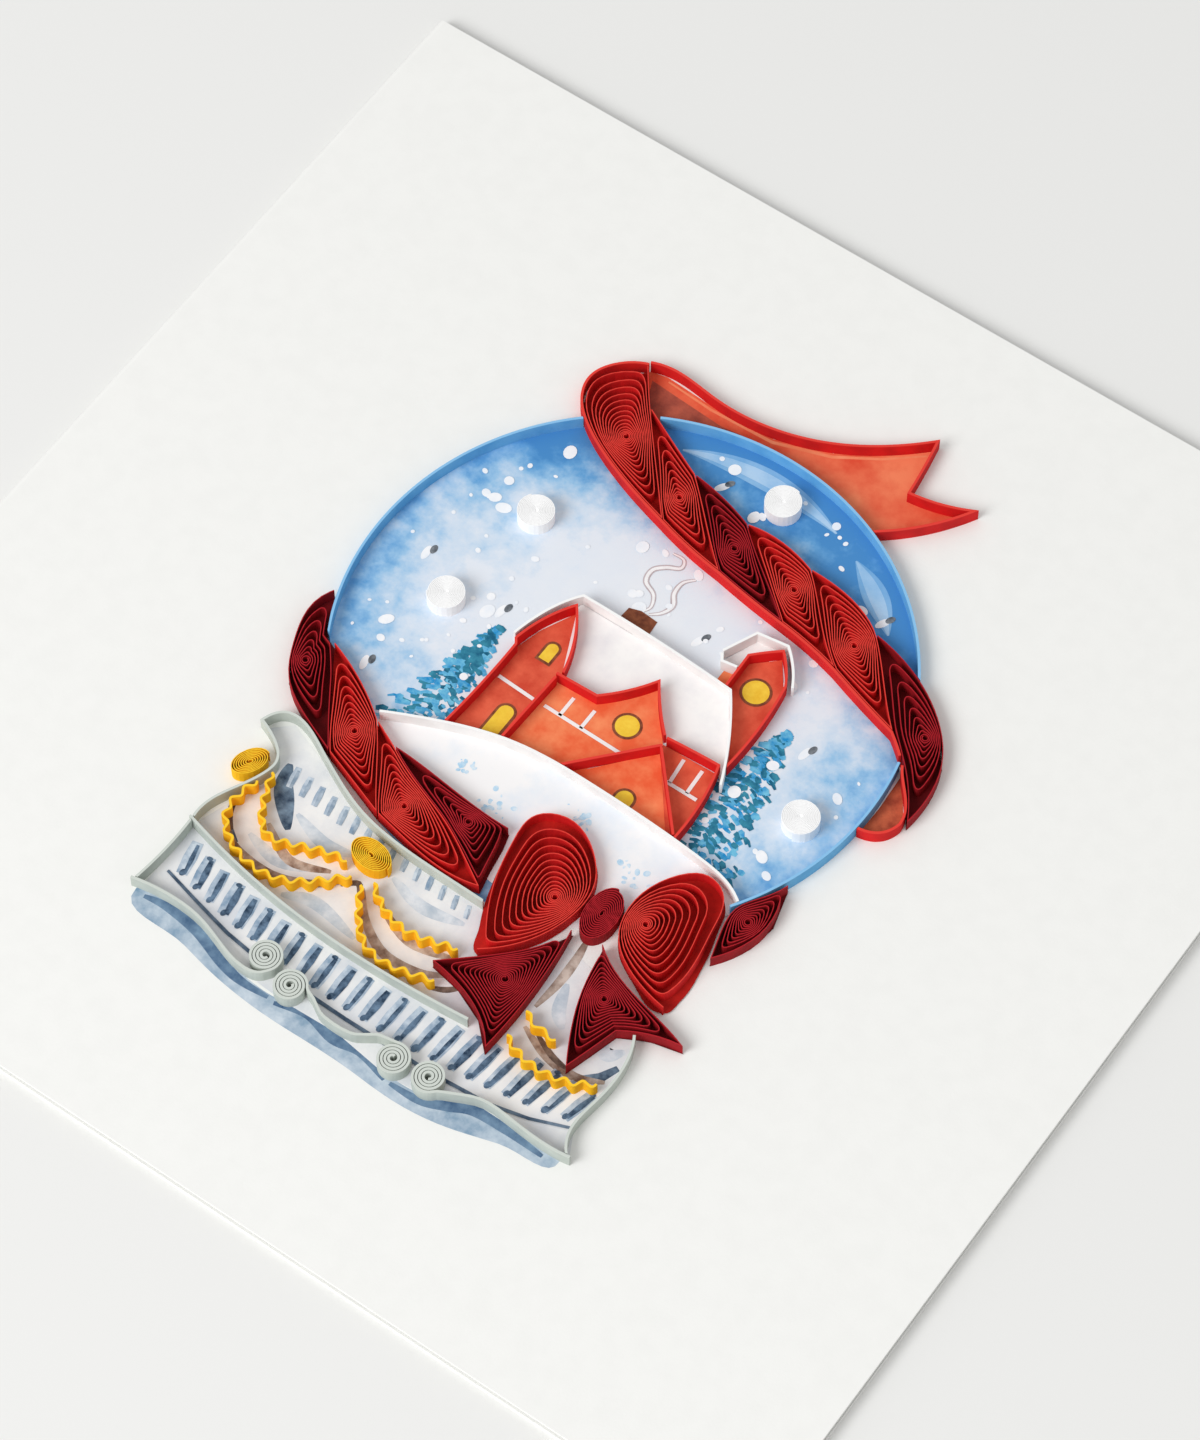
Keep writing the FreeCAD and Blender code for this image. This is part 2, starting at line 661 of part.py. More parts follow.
# Coils that a strip's ends are cut back to.
coil_butts = {
    "rim_strip_left": ["wrap_coil_1", "wrap_coil_2"],
    "rim_strip_top": ["ribbon_coil_1", "ribbon_coil_2", "ribbon_coil_6"],
    "rim_strip_right": ["bow_loop_right", "ribbon_end_coil", "ribbon_coil_6"],
    "snow_line_strip": ["bow_loop_right", "wrap_coil_2"],
    "base_crown_strip": ["bow_loop_left"],
    "ribbon_curl_strip": ["ribbon_coil_6"],
}


def outline_strips():
    runs = outline_runs()
    for node in runs:
        smooth = "scroll" not in node
        face = folded_face(runs[node], outline_paper, smooth)
        for other in butts.get(node, []):
            face = face.cut(folded_face(runs[other], outline_paper + 2 * glue_gap))
        for other in coil_butts.get(node, []):
            face = face.cut(cell_space(other))
        stand_on_card(node, max(face.Faces, key=lambda piece: piece.Area))


outline_strips()


garlands = [
    [(51.8, 48.0), (52.9, 45.4), (54.3, 42.7), (56.4, 41.0), (60.2, 41.8), (65.0, 43.4), (66.4, 43.5)],
    [(51.1, 46.1), (50.5, 43.6), (50.5, 41.0), (53.0, 38.1), (57.1, 36.6), (61.2, 37.0), (65.4, 39.7),
     (67.9, 42.2)],
    [(70.6, 42.9), (73.4, 41.1), (76.9, 40.1), (80.6, 40.6), (83.9, 41.6)],
    [(69.5, 41.8), (71.8, 38.4), (74.7, 35.8), (77.4, 35.2), (80.6, 35.6), (84.1, 36.7)],
    [(95.1, 39.5), (97.6, 38.6), (100.2, 38.5)],
    [(95.1, 35.7), (98.7, 34.4), (102.6, 34.4), (107.3, 36.6)],
]
for number, points in enumerate(garlands, start=1):
    path = crimped_path(points, size("crimp_wave"), size("crimp_depth"))
    stand_on_card(f"garland_strip_{number}", folded_face([path], size("garland_paper"), smooth=False))


# Every piece is checked before any file is written.

doc.recompute()
for item in doc.Objects:
    if "Invalid" in item.State or "Error" in item.State:
        raise ValueError("failed: " + item.Label)
os.makedirs("parts", exist_ok=True)
for part in subparts:
    shape = part.Shape
    if shape.isNull() or not shape.isValid() or len(shape.Solids) != 1:
        raise ValueError("bad shape: " + part.Label)
for part in subparts:
    part.Shape.exportStep(f"parts/{part.Label}.step")
print(len(subparts), "pieces written")
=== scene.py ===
import json
import math
import random

import bpy
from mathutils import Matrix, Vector


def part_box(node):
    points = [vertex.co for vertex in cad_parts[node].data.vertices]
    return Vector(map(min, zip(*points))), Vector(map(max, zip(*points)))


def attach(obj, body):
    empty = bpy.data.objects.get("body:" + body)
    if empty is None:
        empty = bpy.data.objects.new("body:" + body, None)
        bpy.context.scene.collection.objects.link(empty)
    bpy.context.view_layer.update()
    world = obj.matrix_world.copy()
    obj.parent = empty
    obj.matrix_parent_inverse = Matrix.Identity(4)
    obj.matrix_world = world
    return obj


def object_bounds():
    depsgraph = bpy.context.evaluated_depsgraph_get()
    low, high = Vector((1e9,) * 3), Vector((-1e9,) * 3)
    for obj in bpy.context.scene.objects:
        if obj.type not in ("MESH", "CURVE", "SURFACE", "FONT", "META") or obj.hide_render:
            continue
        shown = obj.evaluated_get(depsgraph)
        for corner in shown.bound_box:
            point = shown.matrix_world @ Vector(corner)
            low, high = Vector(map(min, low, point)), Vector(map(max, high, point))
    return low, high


# quilled snow globe card, lying flat
# places on the artwork are in mm from the card's lower left corner
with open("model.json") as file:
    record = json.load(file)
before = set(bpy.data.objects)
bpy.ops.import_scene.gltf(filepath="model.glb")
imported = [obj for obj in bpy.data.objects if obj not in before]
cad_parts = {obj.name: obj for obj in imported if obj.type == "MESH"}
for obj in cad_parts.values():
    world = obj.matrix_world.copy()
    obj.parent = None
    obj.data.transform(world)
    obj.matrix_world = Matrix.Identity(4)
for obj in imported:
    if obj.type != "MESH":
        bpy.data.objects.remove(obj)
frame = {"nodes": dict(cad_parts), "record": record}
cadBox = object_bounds()
nodes = frame["nodes"]
mm = 0.001
cardLow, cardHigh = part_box("folded_card")
cardFace = cardHigh.z
stripTop = cadBox[1][2]
globeCenter = (76.94, 84.56)
artShift = (-0.34, 0.48)
random.seed(7)

# each print's height above the card's face in mm, apart wherever prints overlap,
# and the rise from one mark to the next in a piece of many marks
layers = {"tail": 0.01, "wash": 0.01, "deepWash": 0.015, "tailFold": 0.015, "tailLine": 0.018,
          "sky": 0.02, "base": 0.02, "stoneShades": 0.028, "hollows": 0.03, "curl": 0.03,
          "coniferDark": 0.03, "coniferLight": 0.032, "drapes": 0.035, "shineHalo": 0.035,
          "shine": 0.045, "corners": 0.045, "flutes": 0.05, "markPale": 0.055,
          "smokeOutline": 0.06, "flakes": 0.0625, "smoke": 0.065, "markDark": 0.0651,
          "fluteShades": 0.075, "behind": 0.08, "walls": 0.10, "roof": 0.11, "footLine": 0.11,
          "porch": 0.12, "frames": 0.14, "timber": 0.15, "panes": 0.16, "snowfield": 0.17,
          "splashes": 0.18, "redGapShade": 0.20, "darkGapShade": 0.21, "loopShadeOutlines": 0.22,
          "nextMark": 0.0003}


def onCard(x, y, lift=0.0):
    return Vector((cardLow.x + (x + artShift[0]) * mm, cardLow.y + (y + artShift[1]) * mm,
                   cardFace + lift * mm))


# colours and nodes

def linear(hexColor):
    channels = [int(hexColor[i:i + 2], 16) / 255 for i in (1, 3, 5)]
    return [c / 12.92 if c <= 0.04045 else ((c + 0.055) / 1.055) ** 2.4 for c in channels] + [1]


def addNode(tree, kind, settings=None, links=None):
    node = tree.nodes.new(kind)
    for name, value in (settings or {}).items():
        if isinstance(name, int) or name in node.inputs:
            node.inputs[name].default_value = value
        else:
            setattr(node, name, value)
    for name, source in (links or {}).items():
        tree.links.new(source, node.inputs[name])
    return node


def newMaterial(name):
    material = bpy.data.materials.new(name)
    material.use_nodes = True
    tree = material.node_tree
    tree.nodes.clear()
    shader = addNode(tree, "ShaderNodeBsdfPrincipled")
    addNode(tree, "ShaderNodeOutputMaterial", links={"Surface": shader.outputs[0]})
    place = addNode(tree, "ShaderNodeTexCoord").outputs["Object"]
    return material, tree, shader, place


def ramp(tree, source, stops):
    node = addNode(tree, "ShaderNodeValToRGB", links={"Fac": source})
    elements = node.color_ramp.elements
    while len(elements) < len(stops):
        elements.new(0.5)
    for element, (position, color) in zip(elements, stops):
        element.position = position
        element.color = linear(color)
    return node.outputs["Color"]


# dyed paper is matt and a little uneven in colour; toward the strips' top its colour is painted
# paler, a painted highlight where the light catches the top edges
# its fibres are drawn coarser than real ones, so that they show; sizes in mm
paper = {"fibre": 0.35, "mottle": 2.6, "bump": 0.22, "grain": 0.05, "roughness": 0.82,
         "specular": 0.25, "rim": 0.12, "top": 0.02, "topHighlight": 0.85}


def paperMaterial(name, body, shade, edge):
    material, tree, shader, place = newMaterial(name)
    mottle = addNode(tree, "ShaderNodeTexNoise",
                     {"Scale": 1 / (paper["mottle"] * mm), "Detail": 3.0}, {"Vector": place})
    dyed = ramp(tree, mottle.outputs["Fac"], [(0.32, shade), (0.62, body)])
    height = addNode(tree, "ShaderNodeSeparateXYZ", links={0: place}).outputs["Z"]
    # painted highlight: the last colour is mixed in over the top of the strips, where they catch
    # the light
    rim = addNode(tree, "ShaderNodeMapRange",
                  {"From Min": stripTop - paper["rim"] * mm,
                   "From Max": stripTop - paper["top"] * mm, "To Max": paper["topHighlight"]},
                  {"Value": height})
    color = addNode(tree, "ShaderNodeMix", {"data_type": "RGBA", 7: linear(edge)},
                    {0: rim.outputs[0], 6: dyed})
    fibre = addNode(tree, "ShaderNodeTexNoise",
                    {"Scale": 1 / (paper["fibre"] * mm), "Detail": 4.0}, {"Vector": place})
    bump = addNode(tree, "ShaderNodeBump",
                   {"Strength": paper["bump"], "Distance": paper["grain"] * mm},
                   {"Height": fibre.outputs["Fac"]})
    tree.links.new(color.outputs[2], shader.inputs["Base Color"])
    tree.links.new(bump.outputs[0], shader.inputs["Normal"])
    shader.inputs["Roughness"].default_value = paper["roughness"]
    shader.inputs["Specular IOR Level"].default_value = paper["specular"]
    return material


# watercolour print is matt, and its pigment pools in soft blotches, a few mm across
paint = {"roughness": 0.75, "specular": 0.2}


def paintMaterial(name, pale, deep, blotch, low=0.35, high=0.65):
    material, tree, shader, place = newMaterial(name)
    pool = addNode(tree, "ShaderNodeTexNoise",
                   {"Scale": 1 / (blotch * mm), "Detail": 5.0, "Roughness": 0.6},
                   {"Vector": place})
    color = ramp(tree, pool.outputs["Fac"], [(low, pale), (high, deep)])
    tree.links.new(color, shader.inputs["Base Color"])
    shader.inputs["Roughness"].default_value = paint["roughness"]
    shader.inputs["Specular IOR Level"].default_value = paint["specular"]
    return material


print("camera and light")

# target and distance in mm, angles in degrees
camera = {"target": (2.25, 1.65), "distance": 636.07, "azimuth": -54.63, "elevation": 59.25,
          "lens": 132.6, "sensor": 36, "nearest": 10}
target = Vector((camera["target"][0] * mm, camera["target"][1] * mm, cardFace))
azimuth = math.radians(camera["azimuth"])
elevation = math.radians(camera["elevation"])
back = Vector((math.cos(elevation) * math.cos(azimuth),
               math.cos(elevation) * math.sin(azimuth), math.sin(elevation)))
bpy.ops.object.camera_add(location=target + back * camera["distance"] * mm)
view = bpy.context.object
view.rotation_euler = back.to_track_quat("Z", "Y").to_euler()
view.data.lens = camera["lens"]
view.data.sensor_width = camera["sensor"]
view.data.clip_start = camera["nearest"] * mm
bpy.context.scene.camera = view
bpy.context.scene.view_settings.view_transform = "Standard"

# a broad window light from below the artwork, and an even white room; place and size in m
lamp = {"place": (-0.4, -1.2, 1.1), "size": 0.95, "power": 17.8, "room": 0.6}
bpy.ops.object.light_add(type="AREA", location=lamp["place"])
window = bpy.context.object
window.data.shape = "DISK"
window.data.size = lamp["size"]
window.data.energy = lamp["power"]
window.rotation_euler = Vector(lamp["place"]).to_track_quat("Z", "Y").to_euler()
room = bpy.data.worlds.new("white room")
bpy.context.scene.world = room
room.use_nodes = True
room.node_tree.nodes["Background"].inputs["Color"].default_value = linear("#FFFFFF")
room.node_tree.nodes["Background"].inputs["Strength"].default_value = lamp["room"]

tableTop = {"width": 6, "color": "#EDEDEB", "roughness": 0.9}
bpy.ops.object.select_all(action="DESELECT")
bpy.ops.mesh.primitive_plane_add(size=tableTop["width"], location=(0, 0, 0))
table = bpy.context.object
table.name = "table"
tableMaterial, tree, shader, place = newMaterial("matt white table")
shader.inputs["Base Color"].default_value = linear(tableTop["color"])
shader.inputs["Roughness"].default_value = tableTop["roughness"]
table.data.materials.append(tableMaterial)


print("paper of the strips and coils")

# each paper's last colour is the painted highlight on its lit top edge
whiteCard = paperMaterial("matt white card stock", "#F5F5F2", "#F3F3F0", "#F5F5F2")
brightRed = paperMaterial("bright red quilling paper", "#D91A1B", "#C31517", "#EA4338")
darkRed = paperMaterial("dark red quilling paper", "#9B0A17", "#830711", "#B41B27")
skyBlue = paperMaterial("light blue paper strip", "#6DB2E1", "#5CA5D9", "#8FC6EE")
plainWhite = paperMaterial("white paper strip", "#F3F2F0", "#E9E8E6", "#FBFBFA")
softGrey = paperMaterial("light grey paper strip", "#C2C9C1", "#B4BCB5", "#D2D8D1")
goldYellow = paperMaterial("golden yellow paper strip", "#FDBF12", "#F2AC08", "#FFD030")

papers = {"card": whiteCard, "red_paper": brightRed, "dark_red_paper": darkRed,
          "blue_paper": skyBlue, "white_paper": plainWhite, "grey_paper": softGrey,
          "gold_paper": goldYellow}
for entry in frame["record"]["subparts"]:
    for holder in nodes[entry["node"]].material_slots:
        holder.material = papers[entry["material_slot"]]

# the snowballs' turns are pressed tight, so each is closed with white just below its top edge
snowball = {"radius": 2.32, "below": 0.1, "count": 4, "sides": 48}
whitest = paperMaterial("bright white paper coil", "#FDFDFD", "#F8F8F8", "#FFFFFF")
for number in range(1, snowball["count"] + 1):
    name = f"snowball_{number}"
    for holder in nodes[name].material_slots:
        holder.material = whitest
    low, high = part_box(name)
    bpy.ops.object.select_all(action="DESELECT")
    bpy.ops.mesh.primitive_circle_add(
        vertices=snowball["sides"], radius=snowball["radius"] * mm, fill_type="NGON",
        location=((low.x + high.x) / 2, (low.y + high.y) / 2, high.z - snowball["below"] * mm))
    bpy.ops.object.transform_apply(location=True, rotation=True, scale=True)
    closing = bpy.context.object
    closing.name = f"snowballClosing_{number}"
    closing.data.materials.append(whitest)
    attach(closing, "root")


# flat shapes printed on the card

def printShape(name, outlines, lift, material, smooth=False):
    bpy.ops.object.select_all(action="DESELECT")
    curve = bpy.data.curves.new(name, "CURVE")
    curve.dimensions = "2D"
    curve.fill_mode = "BOTH"
    curve.resolution_u = 8
    for outline in outlines:
        spline = curve.splines.new("BEZIER" if smooth else "POLY")
        points = spline.bezier_points if smooth else spline.points
        points.add(len(outline) - 1)
        for point, (x, y) in zip(points, outline):
            spot = onCard(x, y)
            point.co = (spot.x, spot.y, 0) if smooth else (spot.x, spot.y, 0, 1)
            if smooth:
                point.handle_left_type = "AUTO"
                point.handle_right_type = "AUTO"
        spline.use_cyclic_u = True
    shape = bpy.data.objects.new(name, curve)
    bpy.context.collection.objects.link(shape)
    bpy.context.view_layer.objects.active = shape
    shape.select_set(True)
    bpy.ops.object.convert(target="MESH")
    shape = bpy.context.object
    for vertex in shape.data.vertices:
        vertex.co.z = cardFace + lift * mm
    shape.data.materials.clear()
    shape.data.materials.append(material)
    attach(shape, "root")


def printMarks(name, outlines, lift, material):
    # small marks may overlap, so each is a face of its own a hair above the last
    points, faces = [], []
    for number, outline in enumerate(outlines):
        faces.append(range(len(points), len(points) + len(outline)))
        points += [onCard(x, y, lift + layers["nextMark"] * number) for x, y in outline]
    shape = bpy.data.objects.new(name, bpy.data.meshes.new(name))
    shape.data.from_pydata(points, [], faces)
    bpy.context.collection.objects.link(shape)
    for face in shape.data.polygons:
        if face.normal.z < 0:
            face.flip()
    shape.data.materials.append(material)
    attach(shape, "root")


def circle(x, y, radius, squash=1.0, tilt=0.0, steps=28):
    outline = []
    for step in range(steps):
        angle = 2 * math.pi * step / steps
        along, across = radius * math.cos(angle), radius * squash * math.sin(angle)
        lean = math.radians(tilt)
        outline.append((x + along * math.cos(lean) - across * math.sin(lean),
                        y + along * math.sin(lean) + across * math.cos(lean)))
    return outline


def rounded(points, steps=6):
    # more points along the smooth curve through a few
    ends = [points[0]] + points + [points[-1]]
    path = []
    for before, start, end, after in zip(ends, ends[1:], ends[2:], ends[3:]):
        for step in range(steps):
            t = step / steps
            path.append(tuple(
                0.5 * (2 * b + (c - a) * t + (2 * a - 5 * b + 4 * c - d) * t ** 2
                       + (3 * b - a - 3 * c + d) * t ** 3)
                for a, b, c, d in zip(before, start, end, after)))
    return path + [points[-1]]


def stroke(points, width, ends=0.0):
    # a painted line: full width in the middle, thinner at its ends
    left, right = [], []
    last = len(points) - 1
    for i, (x, y) in enumerate(points):
        before, after = points[max(i - 1, 0)], points[min(i + 1, last)]
        dx, dy = after[0] - before[0], after[1] - before[1]
        length = math.hypot(dx, dy)
        half = width / 2 * (ends + (1 - ends) * math.sin(math.pi * (i + 0.4) / (last + 0.8)))
        left.append((x - dy / length * half, y + dx / length * half))
        right.append((x + dy / length * half, y - dx / length * half))
    return left + right[::-1]


print("print inside the globe")

# paler in the middle, deeper toward the rim and upward, and broken by soft clouds
sky = {"radius": 35.7, "spread": 1.22, "band": (98, 111), "upward": 0.3,
       "cloud": 4.5, "cloudRange": (0.25, 0.75), "cloudDepth": 0.19, "sides": 96,
       "stops": [(0.0, "#ECEEF2"), (0.46, "#E3E9F2"), (0.62, "#CBDDEF"), (0.76, "#98C4E7"),
                 (0.88, "#62A3D8"), (1.0, "#428AC8")]}
skyWash, tree, shader, place = newMaterial("watercolour sky wash")
middle = onCard(*globeCenter)
distance = addNode(tree, "ShaderNodeVectorMath",
                   {"operation": "DISTANCE", 1: (middle.x, middle.y, cardFace)}, {0: place})
away = addNode(tree, "ShaderNodeMath",
               {"operation": "DIVIDE", 1: sky["radius"] * mm * sky["spread"]},
               {0: distance.outputs["Value"]})
rise = addNode(tree, "ShaderNodeSeparateXYZ", links={0: place}).outputs["Y"]
low, high = sky["band"]
upper = addNode(tree, "ShaderNodeMapRange",
                {"From Min": onCard(0, low).y, "From Max": onCard(0, high).y,
                 "To Max": sky["upward"]}, {"Value": rise})
cloud = addNode(tree, "ShaderNodeTexNoise",
                {"Scale": 1 / (sky["cloud"] * mm), "Detail": 5.0, "Roughness": 0.62},
                {"Vector": place})
thin, thick = sky["cloudRange"]
drift = addNode(tree, "ShaderNodeMapRange",
                {"From Min": thin, "From Max": thick, "To Min": -sky["cloudDepth"],
                 "To Max": sky["cloudDepth"]}, {"Value": cloud.outputs["Fac"]})
deeper = addNode(tree, "ShaderNodeMath", {"operation": "ADD"},
                 {0: away.outputs[0], 1: upper.outputs[0]})
washed = addNode(tree, "ShaderNodeMath", {"operation": "ADD"},
                 {0: deeper.outputs[0], 1: drift.outputs[0]})
tree.links.new(ramp(tree, washed.outputs[0], sky["stops"]), shader.inputs["Base Color"])
shader.inputs["Roughness"].default_value = paint["roughness"]
printShape("printSky", [circle(*globeCenter, sky["radius"], steps=sky["sides"])],
           layers["sky"], skyWash)

# conifers are tiers of short drooping dabs, wider toward the ground
teal = paintMaterial("teal conifer brush strokes", "#3E93AD", "#155F80", 1.4)
iceBlue = paintMaterial("ice blue conifer brush strokes", "#79C6E4", "#1C8CCB", 1.2)
conifers = {"left": {"foot": (61.2, 62.6), "top": 80.5, "reach": 5.0, "tiers": 20},
            "right": {"foot": (98.2, 67.4), "top": 88.6, "reach": 6.6, "tiers": 24}}
dab = {"most": 8, "share": 0.5, "length": (0.5, 1.5), "width": (0.35, 0.95), "ends": 0.4,
       "droop": 0.8, "scatter": 0.6}


def coniferDabs(conifer):
    strokes = []
    footX, footY = conifer["foot"]
    for tier in range(conifer["tiers"]):
        part = tier / (conifer["tiers"] - 1)
        y = footY + (conifer["top"] - footY) * part
        reach = (conifer["reach"] * (1 - part) ** 0.9 + 0.3) * random.uniform(0.75, 1.2)
        for side in (-1, 1):
            for spray in range(dab["most"]):
                if random.random() > dab["share"]:
                    continue
                out = random.random() ** 1.2
                start = footX + side * (reach * out - 0.5)
                end = start + side * random.uniform(*dab["length"])
                top = y - reach * 0.25 * out + random.uniform(-dab["scatter"], dab["scatter"])
                drop = random.uniform(0.0, dab["droop"])
                line = [(start, top), ((start + end) / 2, top - drop * 0.3), (end, top - drop)]
                strokes.append(stroke(line, random.uniform(*dab["width"]), dab["ends"]))
    return strokes


for side, conifer in conifers.items():
    printMarks(f"printConiferDark_{side}", coniferDabs(conifer), layers["coniferDark"], teal)
    printMarks(f"printConiferLight_{side}", coniferDabs(conifer), layers["coniferLight"], iceBlue)

print("printed house")

orangeWall = paintMaterial("orange watercolour wall", "#FA9463", "#EE653B", 4.0)
redWall = paintMaterial("red watercolour wall", "#EA6A4C", "#D24B34", 3.0)
whitePaint = paintMaterial("white gouache", "#F8F6F4", "#E8E6E8", 4.0, 0.4, 0.8)
brownPaint = paintMaterial("brown watercolour line", "#9A5A3C", "#6E3A28", 1.0)
yellowPaint = paintMaterial("yellow window light", "#FBD84A", "#EDBF33", 2.0)
house = {
    "printTowerWall": ([(64.6, 65.4), (65.1, 76.2), (65.0, 79.3), (64.7, 80.0), (65.9, 84.4),
                        (67.8, 87.8), (70.3, 83.9), (71.9, 79.2), (71.5, 78.6),
                        (71.2, 67.4)], redWall, "walls"),
    "printFacade": ([(71.3, 78.8), (77.2, 78.9), (79.8, 81.6), (82.1, 84.8), (84.7, 81.5),
                     (87.2, 78.6), (79.2, 67.9), (71.2, 67.0)], orangeWall, "walls"),
    "printAnnexWall": ([(87.0, 78.9), (94.5, 79.2), (95.4, 75.2), (95.7, 67.5),
                        (88.0, 68.0)], redWall, "walls"),
    "printPorchWall": ([(78.9, 67.9), (87.4, 77.7), (95.3, 67.6), (86.0, 68.0)],
                       orangeWall, "porch"),
    "printTurretWall": ([(89.1, 88.7), (88.9, 94.1), (91.9, 96.9), (94.8, 93.0), (95.4, 88.4),
                         (95.2, 80.4)],
                        redWall, "walls"),
    "printTurretSide": ([(87.0, 91.8), (89.0, 91.8), (89.0, 88.9), (87.0, 89.0)],
                        orangeWall, "behind"),
    "printTurretRoof": ([(86.1, 92.8), (88.0, 97.3), (92.0, 97.9), (91.9, 97.0), (88.9, 94.2),
                         (88.9, 92.1), (86.7, 91.8)], whitePaint, "walls"),
    "printRoof": ([(64.2, 80.4), (65.2, 84.8), (67.7, 89.4), (78.7, 89.4), (89.7, 88.8),
                   (93.0, 84.0), (95.9, 78.2), (94.5, 79.4), (87.0, 79.1), (82.1, 84.9),
                   (77.2, 79.0), (71.8, 79.0), (67.8, 87.9)], whitePaint, "roof"),
    "printChimney": ([(72.3, 89.7), (72.5, 92.3), (74.0, 92.8), (76.5, 92.6),
                      (76.8, 89.7)], brownPaint, "behind"),
}
for name, (outline, material, layer) in house.items():
    printShape(name, [outline], layers[layer], material)

# round windows by centre and radius; arched ones by foot, half width and height to the arch
windows = {"round": [(82.0, 78.5, 1.85), (91.9, 91.3, 2.0)], "ring": 0.34, "archSteps": 12,
           "arched": [(68.4, 80.2, 0.75, 1.9), (69.0, 67.0, 1.0, 4.6), (87.5, 68.4, 1.1, 1.7)]}


def arch(x, y, half, height, grow=0.0):
    outline = [(x - half - grow, y - grow)]
    for step in range(windows["archSteps"] + 1):
        angle = math.pi * (1 - step / windows["archSteps"])
        outline.append((x + (half + grow) * math.cos(angle),
                        y + height + (half + grow) * math.sin(angle)))
    return outline + [(x + half + grow, y - grow)]


frames = [circle(x, y, radius) for x, y, radius in windows["round"]]
frames += [arch(x, y, half, height, windows["ring"]) for x, y, half, height in windows["arched"]]
panes = [circle(x, y, radius - windows["ring"]) for x, y, radius in windows["round"]]
panes += [arch(x, y, half, height) for x, y, half, height in windows["arched"]]
printShape("printWindowFrames", frames, layers["frames"], brownPaint)
printShape("printWindowPanes", panes, layers["panes"], yellowPaint)

timber = {"width": 0.5, "ends": 0.9,
          "bars": [[(65.3, 75.3), (71.3, 75.0)], [(72.2, 75.1), (84.2, 74.9)],
                   [(74.5, 78.0), (74.5, 75.0)], [(77.6, 78.0), (77.6, 75.0)],
                   [(90.2, 78.6), (90.6, 75.0)], [(92.9, 78.6), (93.1, 75.0)],
                   [(90.0, 74.9), (94.6, 74.9)]]}
printShape("printTimber", [stroke(bar, timber["width"], timber["ends"]) for bar in timber["bars"]],
           layers["timber"], whitePaint)

print("snow, smoke and highlights")

# the snowfield hides the feet of the walls and conifers
snowPaint = paintMaterial("snow left white with a faint blue wash", "#F7F6F6", "#DCE8F4",
                          8.0, 0.45, 0.8)
hill = [(56.2, 61.6), (60.5, 63.9), (64.0, 65.3), (68.1, 66.8), (72.3, 67.9), (78.0, 68.5),
        (84.3, 68.6), (92.0, 68.4), (100.0, 67.8), (104.6, 66.9), (107.2, 65.4), (104.0, 60.0),
        (97.0, 54.5), (90.0, 51.0), (78.0, 52.0), (66.0, 55.5), (58.0, 59.5)]
printShape("printSnowfield", [hill], layers["snowfield"], snowPaint)
splash = {"spots": 16, "radius": (0.12, 0.5), "squash": (0.4, 0.9), "sides": 10,
          "places": [(75.6, 60.6, 1.5), (94.8, 62.6, 1.7), (85.2, 65.0, 0.9), (69.6, 62.6, 0.9)]}
splashes = []
for x, y, spread in splash["places"]:
    for spot in range(splash["spots"]):
        splashes.append(circle(x + random.gauss(0, spread), y + random.gauss(0, spread * 0.6),
                               random.uniform(*splash["radius"]),
                               random.uniform(*splash["squash"]),
                               random.uniform(0, 180), splash["sides"]))
splashPaint = paintMaterial("pale blue splash on the snow", "#E4F0F8", "#A9D3EE", 1.2)
printMarks("printSplashes", splashes, layers["splashes"], splashPaint)

smokePaint = paintMaterial("white smoke line", "#FBFAFA", "#EFEDEE", 2.0)
outlinePaint = paintMaterial("warm grey outline of the smoke", "#CFC3C6", "#B9A9AC", 2.0)
smoke = {"width": 0.42, "ends": 0.35, "outline": 0.8, "outlineEnds": 0.4,
         "curls": [[(74.2, 92.9), (74.6, 94.0), (73.8, 95.6), (72.0, 96.6), (71.7, 98.4),
                    (72.9, 99.7), (74.4, 100.6), (74.0, 101.8), (72.4, 101.8)],
                   [(75.0, 92.9), (76.2, 94.0), (76.7, 95.6), (75.8, 97.2), (75.8, 99.0),
                    (76.9, 100.3)]]}
curls = [rounded(curl) for curl in smoke["curls"]]
wisps = [stroke(curl, smoke["width"], smoke["ends"]) for curl in curls]
outlines = [stroke(curl, smoke["outline"], smoke["outlineEnds"]) for curl in curls]
printMarks("printSmokeOutline", outlines, layers["smokeOutline"], outlinePaint)
printMarks("printSmoke", wisps, layers["smoke"], smokePaint)

# snowflakes are white dots, none of them on the house or on the snowfield
flakePaint = paintMaterial("white snowflake dots", "#FBFBFC", "#EDF2F9", 2.0)
flakes = {"count": 110, "least": 0.25, "most": 1.15, "squash": (0.65, 1.0), "reach": 33.5,
          "lowest": 70, "house": (63, 97, 66, 92), "sides": 14}
dots = []
while len(dots) < flakes["count"]:
    angle = random.uniform(0, 2 * math.pi)
    reach = flakes["reach"] * math.sqrt(random.random())
    x = globeCenter[0] + reach * math.cos(angle)
    y = globeCenter[1] + reach * math.sin(angle)
    left, right, low, high = flakes["house"]
    if y < flakes["lowest"] or (left < x < right and low < y < high):
        continue
    radius = flakes["least"] + (flakes["most"] - flakes["least"]) * random.random() ** 2.2
    dots.append(circle(x, y, radius, random.uniform(*flakes["squash"]), random.uniform(0, 180),
                       flakes["sides"]))
printMarks("printSnowflakes", dots, layers["flakes"], flakePaint)

